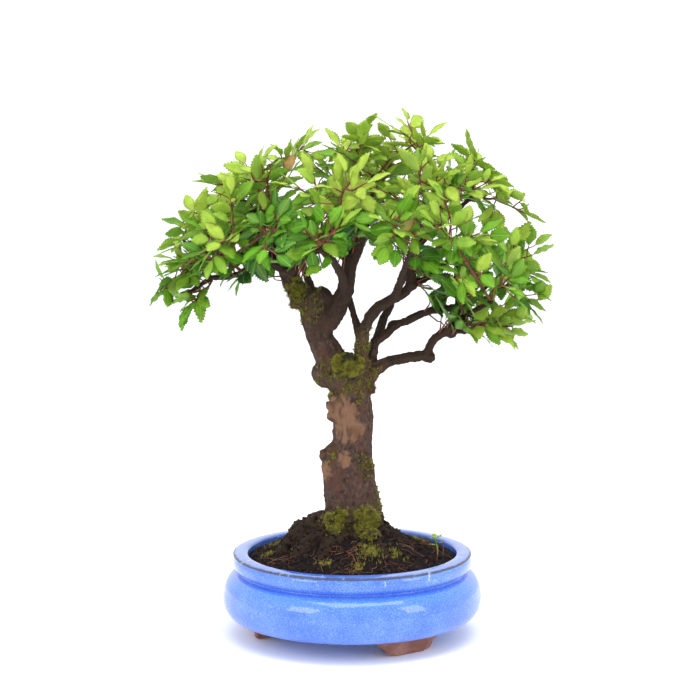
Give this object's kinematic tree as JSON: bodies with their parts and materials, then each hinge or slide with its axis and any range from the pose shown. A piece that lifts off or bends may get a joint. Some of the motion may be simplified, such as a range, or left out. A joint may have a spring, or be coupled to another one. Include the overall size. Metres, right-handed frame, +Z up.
{
  "type": "bonsai tree in a pot",
  "caption": "Small-leaved elm bonsai with a knuckled trunk and a broad leafy crown, in a round blue glazed pot on unglazed clay cloud feet.",
  "frame": {"origin": "on the table under the axis of the pot, at the centre of the feet soles", "axes": "+Z up along the trunk, -Y towards the front of the tree, +X to the right seen from the front"},
  "size_m": [0.324, 0.2698, 0.4242],
  "materials": {
    "pot_glaze": "glossy cornflower blue stoneware glaze with fine dark and light speckle, pooled deeper blue under the collar, broken dark line on the rim edge",
    "foot_clay": "unglazed reddish-brown fired clay, dry and matte",
    "mesh_plastic": "black moulded plastic drainage mesh",
    "soil": "damp dark brown potting soil with grit, bark and fine root fibres",
    "seedling_leaf": "thin soft yellow-green seedling leaf",
    "bark": "plated dark grey-brown elm bark with smooth pinkish-tan patches where plates have fallen",
    "moss": "soft olive-yellow moss cushion",
    "leaf_young": "thin waxy young leaf, bright yellow-green, light showing through",
    "leaf_summer": "thin waxy full-grown leaf, mid green with a pale midrib",
    "leaf_shaded": "thin waxy inner leaf, deeper blue-green"
  },
  "bodies": {
    "root": {"pot": "pot_glaze", "foot_front_right": "foot_clay", "foot_left": "foot_clay", "foot_back": "foot_clay", "drainage_mesh": "mesh_plastic", "soil": "soil", "seedling": "seedling_leaf", "trunk": "bark", "root_moss_left": "moss", "root_moss_right": "moss", "fork_moss": "moss", "limb_moss": "moss", "shoot_left_01": "leaf_summer", "shoot_left_02": "leaf_summer", "shoot_left_03": "leaf_young", "shoot_left_04": "leaf_summer", "shoot_left_05": "leaf_young", "shoot_left_06": "leaf_summer", "shoot_left_07": "leaf_summer", "shoot_left_08": "leaf_shaded", "shoot_left_09": "leaf_summer", "shoot_left_10": "leaf_summer", "shoot_left_11": "leaf_summer", "shoot_left_12": "leaf_shaded", "shoot_left_13": "leaf_shaded", "shoot_left_14": "leaf_summer", "shoot_left_15": "leaf_shaded", "shoot_top_01": "leaf_summer", "shoot_top_02": "leaf_summer", "shoot_top_03": "leaf_young", "shoot_top_04": "leaf_young", "shoot_top_05": "leaf_summer", "shoot_top_06": "leaf_shaded", "shoot_top_07": "leaf_summer", "shoot_top_08": "leaf_young", "shoot_top_09": "leaf_summer", "shoot_top_10": "leaf_summer", "shoot_top_11": "leaf_shaded", "shoot_top_12": "leaf_shaded", "shoot_top_13": "leaf_summer", "shoot_top_14": "leaf_shaded", "shoot_top_15": "leaf_shaded", "shoot_right_01": "leaf_young", "shoot_right_02": "leaf_summer", "shoot_right_03": "leaf_summer", "shoot_right_04": "leaf_young", "shoot_right_05": "leaf_summer", "shoot_right_06": "leaf_summer", "shoot_right_07": "leaf_young", "shoot_right_08": "leaf_young", "shoot_right_09": "leaf_young", "shoot_right_10": "leaf_summer", "shoot_right_11": "leaf_summer", "shoot_right_12": "leaf_summer", "shoot_right_13": "leaf_summer", "shoot_right_14": "leaf_summer", "shoot_right_15": "leaf_shaded", "shoot_right_16": "leaf_shaded", "shoot_right_17": "leaf_shaded", "shoot_right_18": "leaf_summer"}
  },
  "joints": []
}
